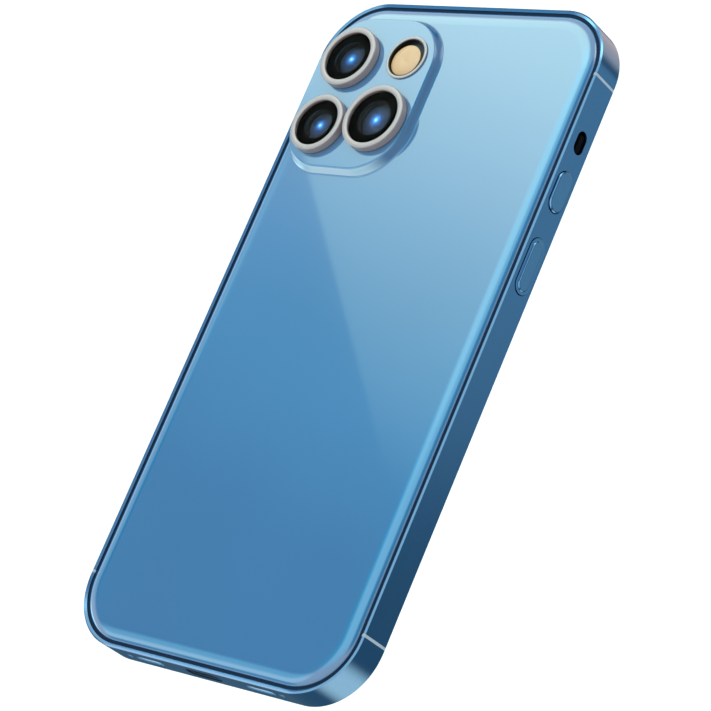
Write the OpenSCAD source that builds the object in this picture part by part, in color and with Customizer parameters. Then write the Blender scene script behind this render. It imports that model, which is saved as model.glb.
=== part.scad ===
// Smartphone with a glass back, a metal side band and a raised three-lens camera plateau.
// Millimetres. The phone lies on its display: Z = 0 is the outer face of the display glass,
// +Z comes out of the back, +Y runs to the camera end, +X to the side with the volume buttons.

/* [Body] */
// Width over the side band
body_w = 71.5; // [60:0.1:80]
// Height over the side band
body_h = 144; // [120:0.5:165]
// Outer corner radius seen from the back
corner_r = 13; // [8:0.5:16]
// Height of the outer face of the back glass
back_z = 7.9; // [6.5:0.1:9]
// Lower rim of the band, on the display side
rim_low = 0.35; // [0.1:0.05:0.8]
// Upper rim of the band, on the back
rim_high = 7.45; // [6:0.05:8]
// Bevel on the two outer edges of the band
rim_bevel = 0.3; // [0.1:0.05:0.6]
// Thickness of the band's rim beside the glass
rim_t = 0.75; // [0.5:0.05:2]
// Drop of the rim towards the back glass
rim_slope = 0.35; // [0:0.05:0.6]
// Full thickness of the band between the two glasses
wall_t = 2.4; // [1.8:0.1:4]
// Height of the ledge under the display
ledge_low = 1.6; // [1:0.1:2.5]
// Height of the ledge under the back glass
ledge_high = 6.7; // [5:0.1:7.5]
// Distance of the antenna breaks from the middle of the long sides
break_y = 58.3; // [40:0.1:60]
// Width of each antenna break
break_w = 0.55; // [0.4:0.05:2]

/* [Glass] */
// Thickness of the display glass
front_glass_t = 0.65; // [0.4:0.05:1]
// Gap between the band's rim and the display glass
front_gap = 0.2; // [0.05:0.01:0.4]
// Thickness of the back glass
rear_glass_t = 1.1; // [0.6:0.1:1.5]
// Gap between the band's rim and the back glass
rear_gap = 0.65; // [0.1:0.05:1]
// Radius of the soft outer edge of the back glass
rear_edge_r = 0.8; // [0.3:0.05:1]
// Thickness of the plate between the display and the works
midframe_t = 0.7; // [0.4:0.1:1.2]

/* [Camera] */
// Width of the raised plateau
plateau_w = 31; // [26:0.1:40]
// Height of the raised plateau
plateau_h = 35.4; // [26:0.1:45]
// Corner radius of the plateau
plateau_r = 11; // [5:0.5:14]
// Plateau height above the back glass
plateau_t = 1.3; // [0.6:0.1:2.5]
// Place of the plateau's centre across the phone
plateau_x = -18.4; // [-25:0.1:0]
// Place of the plateau's centre along the phone
plateau_y = 49.8; // [40:0.1:60]
// Height of the metal lens rings above the plateau
ring_t = 1.7; // [0.8:0.1:2.5]
// Width of the flat face of a lens ring
ring_face = 1.25; // [0.6:0.05:2]
// Focus travel of a lens barrel
focus_travel = 0.3; // [0.1:0.05:0.5]

/* [Flash] */
// Place of the flash across the phone
flash_x = -10.5; // [-15:0.1:0]
// Place of the flash along the phone
flash_y = 58.4; // [50:0.1:65]
// Outer radius of the flash rim
flash_r = 4.9; // [3:0.1:6]
// Radius of the amber diffuser
diffuser_r = 3.5; // [2:0.1:4.5]

/* [Buttons] */
// How far the buttons stand out of the band
button_out = 0.45; // [0.2:0.05:0.8]
// Button travel
button_travel = 0.3; // [0.1:0.05:0.5]
// Clearance round a button
button_gap = 0.15; // [0.08:0.01:0.3]
// Width of the volume buttons
button_w = 4.4; // [2:0.1:4.6]
// Length of the shorter volume button
volume_up_len = 8.4; // [6:0.1:12]
// Place of the shorter volume button
volume_up_y = 34.3; // [20:0.1:45]
// Length of the longer volume button
volume_down_len = 11.6; // [8:0.1:14]
// Place of the longer volume button
volume_down_y = 18.4; // [5:0.1:30]
// Length of the power button
power_len = 16; // [10:0.5:20]
// Place of the power button
power_y = 24; // [10:0.5:30]
// Place of the ring and silent switch
switch_y = 45; // [38:0.1:52]
// Length of the switch slot
slot_len = 4.8; // [4:0.1:8]
// Width of the switch slot
slot_w = 3; // [1.8:0.1:3.5]
// Travel of the switch
switch_travel = 1; // [0.5:0.1:1.4]

/* [Bottom end] */
// Opening width of the charging port
port_w = 8.34; // [7:0.02:10]
// Opening height of the charging port
port_t = 2.56; // [2:0.02:3]
// Depth of the charging port
port_depth = 7; // [5:0.1:9]
// Distance of the grilles from the middle
grille_x = 14.6; // [10:0.1:20]
// Length of a grille
grille_len = 7.2; // [5:0.1:10]
// Width of a grille
grille_w = 1.9; // [1:0.1:3]
// Distance of the end screws from the middle
end_screw_x = 20; // [18:0.1:24]

/* [Card tray] */
// Place of the tray along the phone
tray_y = -8; // [-20:0.5:0]
// Length of the tray's outer cap
tray_cap_len = 15; // [12:0.1:20]
// How far the tray reaches into the phone
tray_depth = 17.5; // [14:0.5:20]

/* [Assembly] */
// Which sub-part to draw

/* [Hidden] */
$fn = 64;
half_w = body_w / 2;
half_h = body_h / 2;
mid_z = (rim_low + rim_high) / 2;
end_len = body_w - 2 * corner_r;
plateau_z = back_z + plateau_t;
ring_z = plateau_z + ring_t;
glass_under = back_z - rear_glass_t;
front_inset = rim_t + front_gap;
rear_inset = rim_t + rear_gap;
deck_z = ledge_low + midframe_t;
inner_x = half_w - wall_t;
inner_y = half_h - wall_t;
pocket_z = 8;
pocket_inset = 2.2;
module_top = pocket_z - 0.1;
module_size = 12.2;
cover_t = 0.4;
cover_drop = 0.4;
mask_t = 0.2;
barrel_z = 3.4;
barrel_t = 0.7;
ring_bevel = 0.25;
flash_rim = 0.6;
window_x = flash_x - 0.4;
window_y = flash_y - 0.35;
leds_z = 7.3;
barrel_top = ring_z - cover_drop - cover_t - mask_t - focus_travel - 0.05;
panel_inset = 2.25;
panel_top = 1.45;
seal_top = 6.95;
earpiece_y = half_h - 3.4;
earpiece_len = 10;
earpiece_w = 1.1;
front_camera_x = 10.5;
front_camera_y = half_h - 5.4;
board_z = 2.5;
board_t = 0.6;
board_top = board_z + board_t;
coil_t = 0.5;
magnet_t = 0.6;
cap_t = 1.9;
flange_t = 0.5;
flange_more = 0.6;
flange_w = 2.6;
flange_x = half_w - cap_t;
plunger_r = 0.8;
button_step = 0.2;
shell_t = 0.3;
tongue_w = 6.7;
tongue_t = 0.7;
tongue_in = 1.6;
tray_z = 3.3;
tray_t = 1.2;
tray_cap_w = 2.8;
tray_gap = 0.1;
seat_drop = 0.45;
mic_x = -12.6;
hole_depth = 4;
end_screw_r = 0.8;
hole_pitch = 0.85;
hole_r = 0.28;
contact_pitch = 0.7;

// [across, along, ring radius, barrel radius] of the three cameras
lens_a = [-24.8, 57.3, 6.8, 3.9];
lens_b = [-25.4, 41.7, 6.45, 3.7];
lens_c = [-11.4, 43.9, 7.25, 4.3];
lenses = [lens_a, lens_b, lens_c];

// ---- shared shapes ----

// rounded rectangle, flat
module rounded(w, h, r) {
  square([w - 2 * r, h], center = true);
  square([w, h - 2 * r], center = true);
  for (x = [-1, 1])
    for (y = [-1, 1])
      translate([x * (w / 2 - r), y * (h / 2 - r)]) circle(r = r);
}

// slot shape, flat, longer side along X
module oval(len, w) {
  square([len - w, w], center = true);
  for (x = [-1, 1]) translate([x * (len - w) / 2, 0]) circle(d = w);
}

// phone-shaped slab set in from the band's outside
module inset_slab(inset, z0, z1) {
  translate([0, 0, z0])
    linear_extrude(z1 - z0)
      rounded(body_w - 2 * inset, body_h - 2 * inset, corner_r - inset);
}

// flat bar seen from its end, with one soft upper corner
module soft_profile(r, t, edge) {
  square([r, t - edge]);
  square([r - edge, t]);
  translate([r - edge, t - edge])
    intersection() {
      circle(r = edge);
      square(edge);
    }
}

// rounded slab with a soft upper edge
module soft_slab(w, h, r, t, edge) {
  for (x = [0, 1])
    for (y = [0, 1])
      mirror([x, 0, 0])
        mirror([0, y, 0])
          translate([w / 2 - r, h / 2 - r, 0]) rotate_extrude(angle = 90) soft_profile(r, t, edge);
  for (a = [0, 180]) {
    rotate([0, 0, a])
      translate([w / 2 - r, 0, 0])
        rotate([90, 0, 0]) linear_extrude(h - 2 * r, center = true) soft_profile(r, t, edge);
    rotate([0, 0, a + 90])
      translate([h / 2 - r, 0, 0])
        rotate([90, 0, 0]) linear_extrude(w - 2 * r, center = true) soft_profile(r, t, edge);
  }
  translate([r - w / 2, r - h / 2, 0]) cube([w - 2 * r, h - 2 * r, t]);
}

// cross-section of the band, outside face on X = 0
module band_profile() {
  polygon([
    [-rim_bevel, rim_low], [0, rim_low + rim_bevel], [0, rim_high - rim_bevel],
    [-rim_bevel, rim_high], [-rim_t, rim_high - rim_slope], [-rim_t, ledge_high],
    [-wall_t, ledge_high], [-wall_t, ledge_low], [-rim_t, ledge_low], [-rim_t, rim_low]
  ]);
}

// straight length of band, outside face towards +X
module rail(len) {
  rotate([90, 0, 0]) linear_extrude(len, center = true) band_profile();
}

// the two corners, the end and the short returns of the band, at the +Y end
module band_end() {
  return_len = half_h - corner_r - break_y - break_w / 2;
  for (x = [0, 1])
    mirror([x, 0, 0]) {
      translate([half_w - corner_r, half_h - corner_r, 0])
        rotate_extrude(angle = 90) translate([corner_r, 0]) band_profile();
      translate([half_w, half_h - corner_r - return_len / 2, 0]) rail(return_len);
    }
  translate([0, half_h, 0]) rotate([0, 0, 90]) rail(end_len);
}

// slot-shaped bar along X, for holes in the long sides
module side_oval(len, w, x0, x1) {
  translate([x0, 0, 0])
    rotate([90, 0, 90]) linear_extrude(x1 - x0) oval(len, w);
}

// slot-shaped bar along Y, for holes in the bottom end
module end_oval(len, w, y0, y1) {
  translate([0, y1, 0])
    rotate([90, 0, 0]) linear_extrude(y1 - y0) oval(len, w);
}

module tube(r_out, r_in, h) {
  difference() {
    cylinder(r = r_out, h = h);
    translate([0, 0, -1]) cylinder(r = r_in, h = h + 2);
  }
}

module at_lens(lens, z) {
  translate([lens[0], lens[1], z]) children();
}

// ---- display side ----

module display_glass() {
  color([0.05, 0.05, 0.06])
    difference() {
      translate([0, 0, front_glass_t])
        mirror([0, 0, 1])
          soft_slab(body_w - 2 * front_inset, body_h - 2 * front_inset, corner_r - front_inset,
                    front_glass_t, 0.3);
      translate([0, earpiece_y, -1]) linear_extrude(3) oval(earpiece_len, earpiece_w);
    }
}

module display_panel() {
  color([0.1, 0.1, 0.12])
    difference() {
      inset_slab(panel_inset, front_glass_t, panel_top);
      translate([-5.6, half_h - 4.5, 0]) cube([11.2, 4, 3]);
      translate([front_camera_x, front_camera_y, 0]) cylinder(r = 2.6, h = 3);
    }
}

module display_frame() {
  color([0.02, 0.03, 0.04])
    difference() {
      inset_slab(rim_t, front_glass_t, ledge_low);
      inset_slab(panel_inset, 0, ledge_low + 1);
    }
}

module earpiece_mesh() {
  color([0.25, 0.25, 0.27])
    translate([0, earpiece_y, 0.35]) linear_extrude(0.3) oval(earpiece_len, earpiece_w);
}

module earpiece() {
  color([0.12, 0.12, 0.13]) {
    translate([-6.3, inner_y - 4.6, deck_z]) cube([12.6, 4.4, 3.2]);
    translate([0, earpiece_y, front_glass_t])
      linear_extrude(deck_z - front_glass_t) oval(earpiece_len, earpiece_w);
  }
}

module front_camera() {
  color([0.04, 0.05, 0.08]) {
    translate([front_camera_x, front_camera_y, front_glass_t])
      cylinder(r = 2.2, h = deck_z - front_glass_t);
    translate([front_camera_x - 3, front_camera_y - 3, deck_z]) cube([6, 5.8, 2.6]);
  }
}

// ---- body ----

module midframe() {
  color([0.62, 0.65, 0.68])
    difference() {
      union() {
        inset_slab(wall_t, ledge_low, deck_z);
        for (p = board_posts) translate([p[0], p[1], ledge_low]) cylinder(r = 1.3, h = board_z - ledge_low);
      }
      for (p = board_posts) translate([p[0], p[1], ledge_low + 0.2]) cylinder(r = 0.5, h = 3);
      translate([0, earpiece_y, 0]) linear_extrude(5) oval(11.2, 2.2);
      translate([front_camera_x, front_camera_y, 0]) cylinder(r = 2.5, h = 5);
      translate([-2.6, -30, 0]) cube([1.6, 18, 5]);
      translate([14, -66, 0]) cube([12, 3, 5]);
    }
}

board_posts = [[-29, 32], [-6, 32], [-29, 4.5], [-6, 4.5], [-29, -22.5], [-6, -22.5]];

module band_top() {
  color([0.27, 0.45, 0.6]) band_end();
}

module band_bottom() {
  color([0.27, 0.45, 0.6])
    difference() {
      mirror([0, 1, 0]) band_end();
      translate([0, -half_h, mid_z])
        end_oval(port_w + 2 * shell_t, port_t + 2 * shell_t, -1, 4);
      for (x = [-1, 1]) {
        translate([x * grille_x, -half_h, mid_z]) end_oval(grille_len, grille_w, -1, 4);
        translate([x * end_screw_x, -half_h, mid_z])
          end_oval(2 * end_screw_r + 0.02, 2 * end_screw_r, -1, 2);
      }
    }
}

module band_side() {
  len = 2 * break_y - break_w;
  translate([half_w, 0, 0]) rail(len);
}

// hole and inner pocket for a button of the given length
module button_hole(len) {
  side_oval(len + 2 * button_gap, button_w + 2 * button_gap, half_w - hole_depth, half_w + 1);
  side_oval(len + 2 * flange_more + 2 * button_gap, flange_w + 2 * button_gap,
            half_w - hole_depth, flange_x + button_gap / 2);
}

module band_right() {
  color([0.27, 0.45, 0.6])
    difference() {
      band_side();
      translate([0, volume_up_y, mid_z]) button_hole(volume_up_len);
      translate([0, volume_down_y, mid_z]) button_hole(volume_down_len);
      translate([0, switch_y, mid_z]) side_oval(slot_len, slot_w, half_w - hole_depth, half_w + 1);
    }
}

module band_left() {
  color([0.27, 0.45, 0.6])
    mirror([1, 0, 0])
      difference() {
        band_side();
        translate([0, power_y, mid_z]) button_hole(power_len);
        translate([0, tray_y, mid_z])
          side_oval(tray_cap_len + 2 * tray_gap, tray_cap_w + 2 * tray_gap,
                    half_w - hole_depth, half_w + 1);
      }
}

module antenna_breaks() {
  color([0.55, 0.68, 0.78])
    for (a = [0, 180])
      rotate([0, 0, a])
        for (y = [-1, 1]) translate([half_w, y * break_y, 0]) rail(break_w);
}

module rear_glass() {
  color([0.36, 0.63, 0.82])
    difference() {
      union() {
        translate([0, 0, glass_under])
          soft_slab(body_w - 2 * rear_inset, body_h - 2 * rear_inset, corner_r - rear_inset,
                    rear_glass_t, rear_edge_r);
        translate([plateau_x, plateau_y, glass_under])
          soft_slab(plateau_w, plateau_h, plateau_r, plateau_z - glass_under, 0.9);
      }
      translate([plateau_x, plateau_y, glass_under - 1])
        linear_extrude(pocket_z - glass_under + 1)
          rounded(plateau_w - 2 * pocket_inset, plateau_h - 2 * pocket_inset, plateau_r - pocket_inset);
      for (lens = lenses) at_lens(lens, pocket_z - 1) cylinder(r = lens[2] - 1, h = 5);
      translate([flash_x, flash_y, pocket_z - 1]) cylinder(r = flash_r - flash_rim, h = 5);
    }
}

module rear_seal() {
  color([0.01, 0.1, 0.2]) {
    difference() {
      inset_slab(rim_t, ledge_high, seal_top);
      inset_slab(rear_inset, ledge_high - 1, 8);
    }
    difference() {
      inset_slab(rear_inset, ledge_high, glass_under);
      inset_slab(wall_t - 0.1, ledge_high - 1, 8);
    }
  }
}

// ---- cameras ----

// metal ring with a shank through the glass and a seat for its cover
module lens_ring(lens) {
  r = lens[2];
  seat_z = ring_z - cover_drop - cover_t;
  color([0.82, 0.79, 0.77])
    at_lens(lens, 0)
      difference() {
        union() {
          translate([0, 0, pocket_z]) cylinder(r = r - 1, h = ring_z - pocket_z);
          translate([0, 0, plateau_z]) cylinder(r = r, h = ring_t - ring_bevel);
          translate([0, 0, ring_z - ring_bevel]) cylinder(r1 = r, r2 = r - ring_bevel, h = ring_bevel);
        }
        translate([0, 0, pocket_z - 1]) cylinder(r = r - 1.8, h = 8);
        translate([0, 0, seat_z - mask_t]) cylinder(r = r - ring_face, h = 4);
      }
}

module lens_cover(lens) {
  color([0.2, 0.25, 0.35, 0.5])
    at_lens(lens, ring_z - cover_drop - cover_t) cylinder(r = lens[2] - ring_face, h = cover_t);
}

module lens_masks() {
  color([0.01, 0.01, 0.01])
    for (lens = lenses)
      at_lens(lens, ring_z - cover_drop - cover_t - mask_t)
        tube(lens[2] - ring_face, (lens[2] - ring_face) * 0.66, mask_t);
}

module lens_barrel(lens) {
  r = lens[3];
  color([0.05, 0.05, 0.06])
    at_lens(lens, barrel_z)
      difference() {
        cylinder(r = r, h = barrel_top - barrel_z);
        translate([0, 0, 0.6]) cylinder(r = r - barrel_t, h = 10);
        translate([0, 0, -1]) cylinder(r = r - 1.6, h = 10);
      }
}

// front element, domed, and one inner element
module lens_glass(lens) {
  r = lens[3] - barrel_t;
  sag = 0.5;
  ball = (r * r + sag * sag) / (2 * sag);
  color([0.1, 0.25, 0.6, 0.6])
    at_lens(lens, 0) {
      translate([0, 0, barrel_top - 1.5]) cylinder(r = r, h = 0.8);
      intersection() {
        translate([0, 0, barrel_top - 0.7 + sag - ball]) sphere(r = ball);
        translate([0, 0, barrel_top - 0.8]) cylinder(r = r, h = 1);
      }
      translate([0, 0, 5]) cylinder(r = r, h = 0.9);
    }
}

module camera_modules() {
  color([0.2, 0.21, 0.23])
    for (lens = lenses) {
      at_lens(lens, deck_z)
        difference() {
          union() {
            translate([-module_size / 2, -module_size / 2, 0])
              cube([module_size, module_size, ledge_high - deck_z]);
            cylinder(r = lens[3] + 0.8, h = module_top - deck_z);
          }
          translate([0, 0, 0.6]) cylinder(r = lens[3] + 0.25, h = 8);
        }
    }
}

module camera_bracket() {
  legs = [[-32.4, 42], [-16.5, 56], [-4.2, 54]];
  color([0.7, 0.72, 0.74]) {
    translate([0, 0, 5])
      linear_extrude(0.4)
        difference() {
          translate([-33.2, 34.6]) square([29.8, 30]);
          for (lens = lenses) translate([lens[0], lens[1]]) square(module_size + 0.1, center = true);
          translate([window_x, window_y]) square(6.6, center = true);
          translate([-34, 60]) rounded(6, 20, 2);
        }
    for (p = legs) translate([p[0], p[1], deck_z]) cylinder(r = 0.5, h = 5 - deck_z);
  }
}

module flash_ring() {
  color([0.8, 0.82, 0.84])
    translate([flash_x, flash_y, 0]) {
      translate([0, 0, plateau_z]) tube(flash_r, flash_r - flash_rim, 0.35);
    }
}

// black cup under the rim, with its window off centre
module flash_cup() {
  color([0.02, 0.02, 0.02])
    translate([flash_x, flash_y, 0])
      difference() {
        translate([0, 0, pocket_z]) cylinder(r = flash_r - flash_rim, h = plateau_z + 0.3 - pocket_z);
        translate([0, 0, plateau_z - 0.7]) cylinder(r = flash_r - 0.75, h = 3);
        translate([-0.4, -0.35, pocket_z - 1]) cylinder(r = diffuser_r, h = 4);
      }
}

module flash_diffuser() {
  sag = 0.4;
  ball = (diffuser_r * diffuser_r + sag * sag) / (2 * sag);
  color([0.94, 0.8, 0.58])
    translate([window_x, window_y, 0]) {
      translate([0, 0, pocket_z]) cylinder(r = diffuser_r, h = plateau_z - pocket_z - 0.3);
      intersection() {
        translate([0, 0, plateau_z - 0.3 + sag - ball]) sphere(r = ball);
        translate([0, 0, plateau_z - 0.4]) cylinder(r = diffuser_r, h = 1);
      }
    }
}

module flash_leds() {
  color([0.95, 0.85, 0.4])
    translate([window_x, window_y, 0]) {
      translate([-3, -3, deck_z]) cube([6, 6, leds_z - deck_z]);
      for (x = [-1, 1])
        for (y = [-1, 1]) translate([x * 1.2 - 0.9, y * 1.2 - 0.9, leds_z]) cube([1.8, 1.8, 0.6]);
    }
}

// ---- bottom end ----

module port_shell() {
  color([0.7, 0.72, 0.75])
    translate([0, -half_h, mid_z])
      difference() {
        end_oval(port_w + 2 * shell_t, port_t + 2 * shell_t, 0.3, port_depth + 1);
        end_oval(port_w, port_t, -1, port_depth);
      }
}

module port_tongue() {
  color([0.06, 0.06, 0.07])
    translate([-tongue_w / 2, -half_h + tongue_in, mid_z - tongue_t / 2])
      cube([tongue_w, port_depth - tongue_in, tongue_t]);
}

module port_contacts() {
  color([0.85, 0.7, 0.4])
    for (side = [0, 1])
      translate([0, 0, mid_z])
        mirror([0, 0, side])
          for (i = [0:7])
            translate([-2.6 + i * contact_pitch, -half_h + 2, tongue_t / 2]) cube([0.3, 4, 0.05]);
}

// perforated plate in a slot of the bottom end
module grille(last) {
  difference() {
    end_oval(grille_len, grille_w, 0.25, 0.75);
    for (i = [-3:last]) translate([i * hole_pitch, 0, 0]) rotate([-90, 0, 0]) cylinder(r = hole_r, h = 3);
    children();
  }
}

module grille_right() {
  color([0.75, 0.77, 0.8]) translate([grille_x, -half_h, mid_z]) grille(3);
}

// the left grille also has the microphone's wider hole
module grille_left() {
  color([0.75, 0.77, 0.8])
    translate([-grille_x, -half_h, mid_z])
      grille(0) translate([mic_x + grille_x, 0, 0]) rotate([-90, 0, 0]) cylinder(r = 0.5, h = 3);
}

// the two cross-head screws of the bottom end
module end_screws() {
  color([0.75, 0.77, 0.8])
    for (x = [-1, 1])
      translate([x * end_screw_x, -half_h + 0.2, mid_z])
        rotate([-90, 0, 0])
          difference() {
            cylinder(r = end_screw_r, h = 1.8);
            for (a = [0, 90]) rotate([0, 0, a]) translate([-0.5, -0.12, -1]) cube([1, 0.24, 1.5]);
          }
}

module bottom_mic() {
  color([0.6, 0.6, 0.62]) translate([mic_x - 3, -inner_y + 0.1, deck_z]) cube([4.6, 3.2, 3]);
}

module speaker_box() {
  color([0.08, 0.08, 0.09])
    difference() {
      intersection() {
        translate([8, -inner_y, deck_z]) cube([22.5, 21.8, 3.9]);
        inset_slab(wall_t + 0.05, deck_z, ledge_high);
      }
      translate([10, -inner_y + 5, deck_z + 0.5]) cube([18.5, 14.8, 6]);
      translate([grille_x, -inner_y - 1, mid_z]) end_oval(grille_len - 0.8, 1.6, 0, 7);
    }
}

module speaker_magnet() {
  color([0.5, 0.5, 0.52]) translate([12.5, -inner_y + 7.5, deck_z + 0.5]) cube([13.5, 9.8, 1.8]);
}

module speaker_diaphragm() {
  color([0.25, 0.2, 0.15])
    translate([19.25, -inner_y + 12.4, 0]) {
      translate([0, 0, 5.2]) linear_extrude(0.2) rounded(18, 14.2, 3);
      translate([0, 0, 4.95]) linear_extrude(0.25) rounded(12, 8.4, 2);
    }
}

module haptic_case() {
  color([0.66, 0.67, 0.7])
    translate([-31, -59.5, deck_z])
      difference() {
        cube([23, 11, 3.8]);
        translate([0.4, 0.4, 0.4]) cube([22.2, 10.2, 5]);
      }
}

module haptic_mass() {
  color([0.35, 0.35, 0.37]) translate([-29, -58.7, deck_z + 0.6]) cube([19, 9.4, 2.9]);
}

// ---- works ----

module battery() {
  color([0.1, 0.1, 0.11])
    translate([0, 0, deck_z])
      linear_extrude(3.2)
        polygon([[-2.8, 58], [30.6, 58], [30.6, -46], [-31, -46], [-31, -26], [-2.8, -26]]);
}

module logic_board() {
  color([0.05, 0.2, 0.12])
    difference() {
      translate([-31.3, -24.5, board_z]) cube([27.5, 58.6, board_t]);
      for (p = board_posts) translate([p[0], p[1], 0]) cylinder(r = 0.7, h = 5);
    }
}

module board_chips() {
  color([0.07, 0.07, 0.08]) {
    translate([-26, 11, board_top]) cube([13, 13, 1.3]);
    translate([-26, 26, board_top]) cube([12, 6.4, 0.9]);
    translate([-14.5, -22, board_top]) cube([7, 6, 0.9]);
    for (i = [0:4]) translate([-15, -11 + i * 2.6, board_top]) cube([3.2, 1.5, 0.6]);
    for (i = [0:3]) translate([-10.5, 8 + i * 5.5, board_top]) cube([4.6, 2.2, 0.8]);
  }
}

module shield_can() {
  color([0.7, 0.71, 0.73])
    translate([-27, -23.8, board_top])
      difference() {
        cube([11.4, 8, 1.9]);
        translate([0.2, 0.2, -1]) cube([11, 7.6, 2.7]);
      }
}

module board_screws() {
  color([0.6, 0.6, 0.62])
    for (p = board_posts)
      translate([p[0], p[1], 0]) {
        translate([0, 0, ledge_low + 0.2]) cylinder(r = 0.5, h = board_top - ledge_low - 0.2);
        translate([0, 0, board_top])
          difference() {
            cylinder(r = 1.1, h = 0.5);
            for (a = [0, 90]) rotate([0, 0, a]) translate([-0.7, -0.12, 0.25]) cube([1.4, 0.24, 1]);
          }
      }
}

// thin steel pocket the tray slides into
module card_reader() {
  color([0.72, 0.73, 0.76])
    translate([-33.2, tray_y - 7.4, board_top])
      difference() {
        cube([16.4, 14.8, 1.75]);
        translate([-1, 0.3, -1]) cube([17.1, 14.2, 2.55]);
      }
}

module card_tray() {
  color([0.27, 0.45, 0.6])
    translate([0, tray_y, 0])
      difference() {
        union() {
          mirror([1, 0, 0])
            translate([0, 0, mid_z]) side_oval(tray_cap_len, tray_cap_w, half_w - 1.5, half_w);
          translate([-half_w + 1.2, -6.7, tray_z]) cube([tray_depth - 1.2, 13.4, tray_t]);
        }
        translate([-30.8, -4.7, tray_z + seat_drop]) cube([12.5, 9, 2]);
        translate([-half_w + 9, -2.5, 0]) cube([6, 5, 8]);
        translate([0, 5.6, mid_z]) mirror([1, 0, 0]) side_oval(0.82, 0.8, half_w - 9, half_w + 1);
      }
}

module sim_card() {
  color([0.92, 0.92, 0.9])
    translate([0, tray_y, tray_z + seat_drop])
      linear_extrude(0.67)
        difference() {
          translate([-30.7, -4.6]) square([12.3, 8.8]);
          translate([-18.4, 4.2]) rotate([0, 0, 45]) square(2.2, center = true);
        }
}

// ---- buttons ----

// pill-shaped cap, its inner flange and its plunger, outer face towards +X
module button(len) {
  tip = half_w + button_out;
  side_oval(len, button_w, flange_x, tip - button_step);
  side_oval(len - 0.3, button_w - 0.3, flange_x, tip);
  side_oval(len + 2 * flange_more, flange_w, flange_x - flange_t, flange_x);
}

module volume_up() {
  color([0.33, 0.52, 0.68]) translate([0, volume_up_y, mid_z]) button(volume_up_len);
}

module volume_down() {
  color([0.33, 0.52, 0.68]) translate([0, volume_down_y, mid_z]) button(volume_down_len);
}

module power_button() {
  color([0.33, 0.52, 0.68])
    mirror([1, 0, 0]) translate([0, power_y, mid_z]) button(power_len);
}

// recessed nub on a flat carrier, at the low end of its travel
module ring_switch() {
  color([0.02, 0.02, 0.02])
    translate([0, switch_y, mid_z - switch_travel / 2]) {
      side_oval(3.8, 1.3, inner_x - 0.1, half_w - 0.5);
      translate([inner_x - 0.8, -3.9, -1]) cube([0.7, 7.8, 2]);
    }
}

// key switches behind the buttons on steel strips, and the housing of the ring switch
module side_switches() {
  dome_x = flange_x - flange_t - button_travel - 0.1;
  color([0.75, 0.76, 0.78]) {
    for (y = [volume_up_y, volume_down_y])
      translate([0, y, mid_z]) {
        translate([dome_x - 1.2, -2, -1.5]) cube([0.8, 4, 3]);
        rotate([0, 90, 0]) translate([0, 0, dome_x - 0.4]) cylinder(r = plunger_r, h = 0.4);
      }
    translate([dome_x - 1.5, volume_down_y - 6, deck_z]) cube([0.3, 29, 3.6]);
    mirror([1, 0, 0]) {
      translate([0, power_y, mid_z]) {
        translate([dome_x - 1.2, -2, -1.5]) cube([0.8, 4, 3]);
        rotate([0, 90, 0]) translate([0, 0, dome_x - 0.4]) cylinder(r = plunger_r, h = 0.4);
      }
    }
    translate([inner_x - 1.9, switch_y - 4.5, deck_z]) cube([1, 9, 3.8]);
  }
}

// ---- charging coil ----

module charge_coil() {
  color([0.72, 0.42, 0.24])
    translate([0, 0, glass_under - coil_t])
      for (i = [0:9]) tube(10.6 + i * 1.1, 10 + i * 1.1, coil_t);
}

module coil_magnets() {
  color([0.55, 0.56, 0.6])
    translate([0, 0, glass_under - magnet_t])
      for (i = [0:15])
        rotate([0, 0, i * 22.5 - 9.5])
          rotate_extrude(angle = 19) translate([24, 0]) square([3, magnet_t]);
}

display_glass();
display_panel();
display_frame();
earpiece_mesh();
earpiece();
front_camera();
midframe();
band_top();
band_bottom();
band_left();
band_right();
antenna_breaks();
rear_glass();
rear_seal();
lens_ring(lens_a);  // lens_ring_a
lens_ring(lens_b);  // lens_ring_b
lens_ring(lens_c);  // lens_ring_c
lens_cover(lens_a);  // lens_cover_a
lens_cover(lens_b);  // lens_cover_b
lens_cover(lens_c);  // lens_cover_c
lens_masks();
lens_barrel(lens_a);  // lens_barrel_a
lens_barrel(lens_b);  // lens_barrel_b
lens_barrel(lens_c);  // lens_barrel_c
lens_glass(lens_a);  // lens_glass_a
lens_glass(lens_b);  // lens_glass_b
lens_glass(lens_c);  // lens_glass_c
camera_modules();
camera_bracket();
flash_ring();
flash_cup();
flash_diffuser();
flash_leds();
port_shell();
port_tongue();
port_contacts();
grille_left();
grille_right();
end_screws();
bottom_mic();
speaker_box();
speaker_magnet();
speaker_diaphragm();
haptic_case();
haptic_mass();
battery();
logic_board();
board_chips();
shield_can();
board_screws();
card_reader();
card_tray();
sim_card();
volume_up();
volume_down();
power_button();
ring_switch();
side_switches();
charge_coil();
coil_magnets();
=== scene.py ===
import math

import bpy
from mathutils import Matrix, Vector


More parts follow.
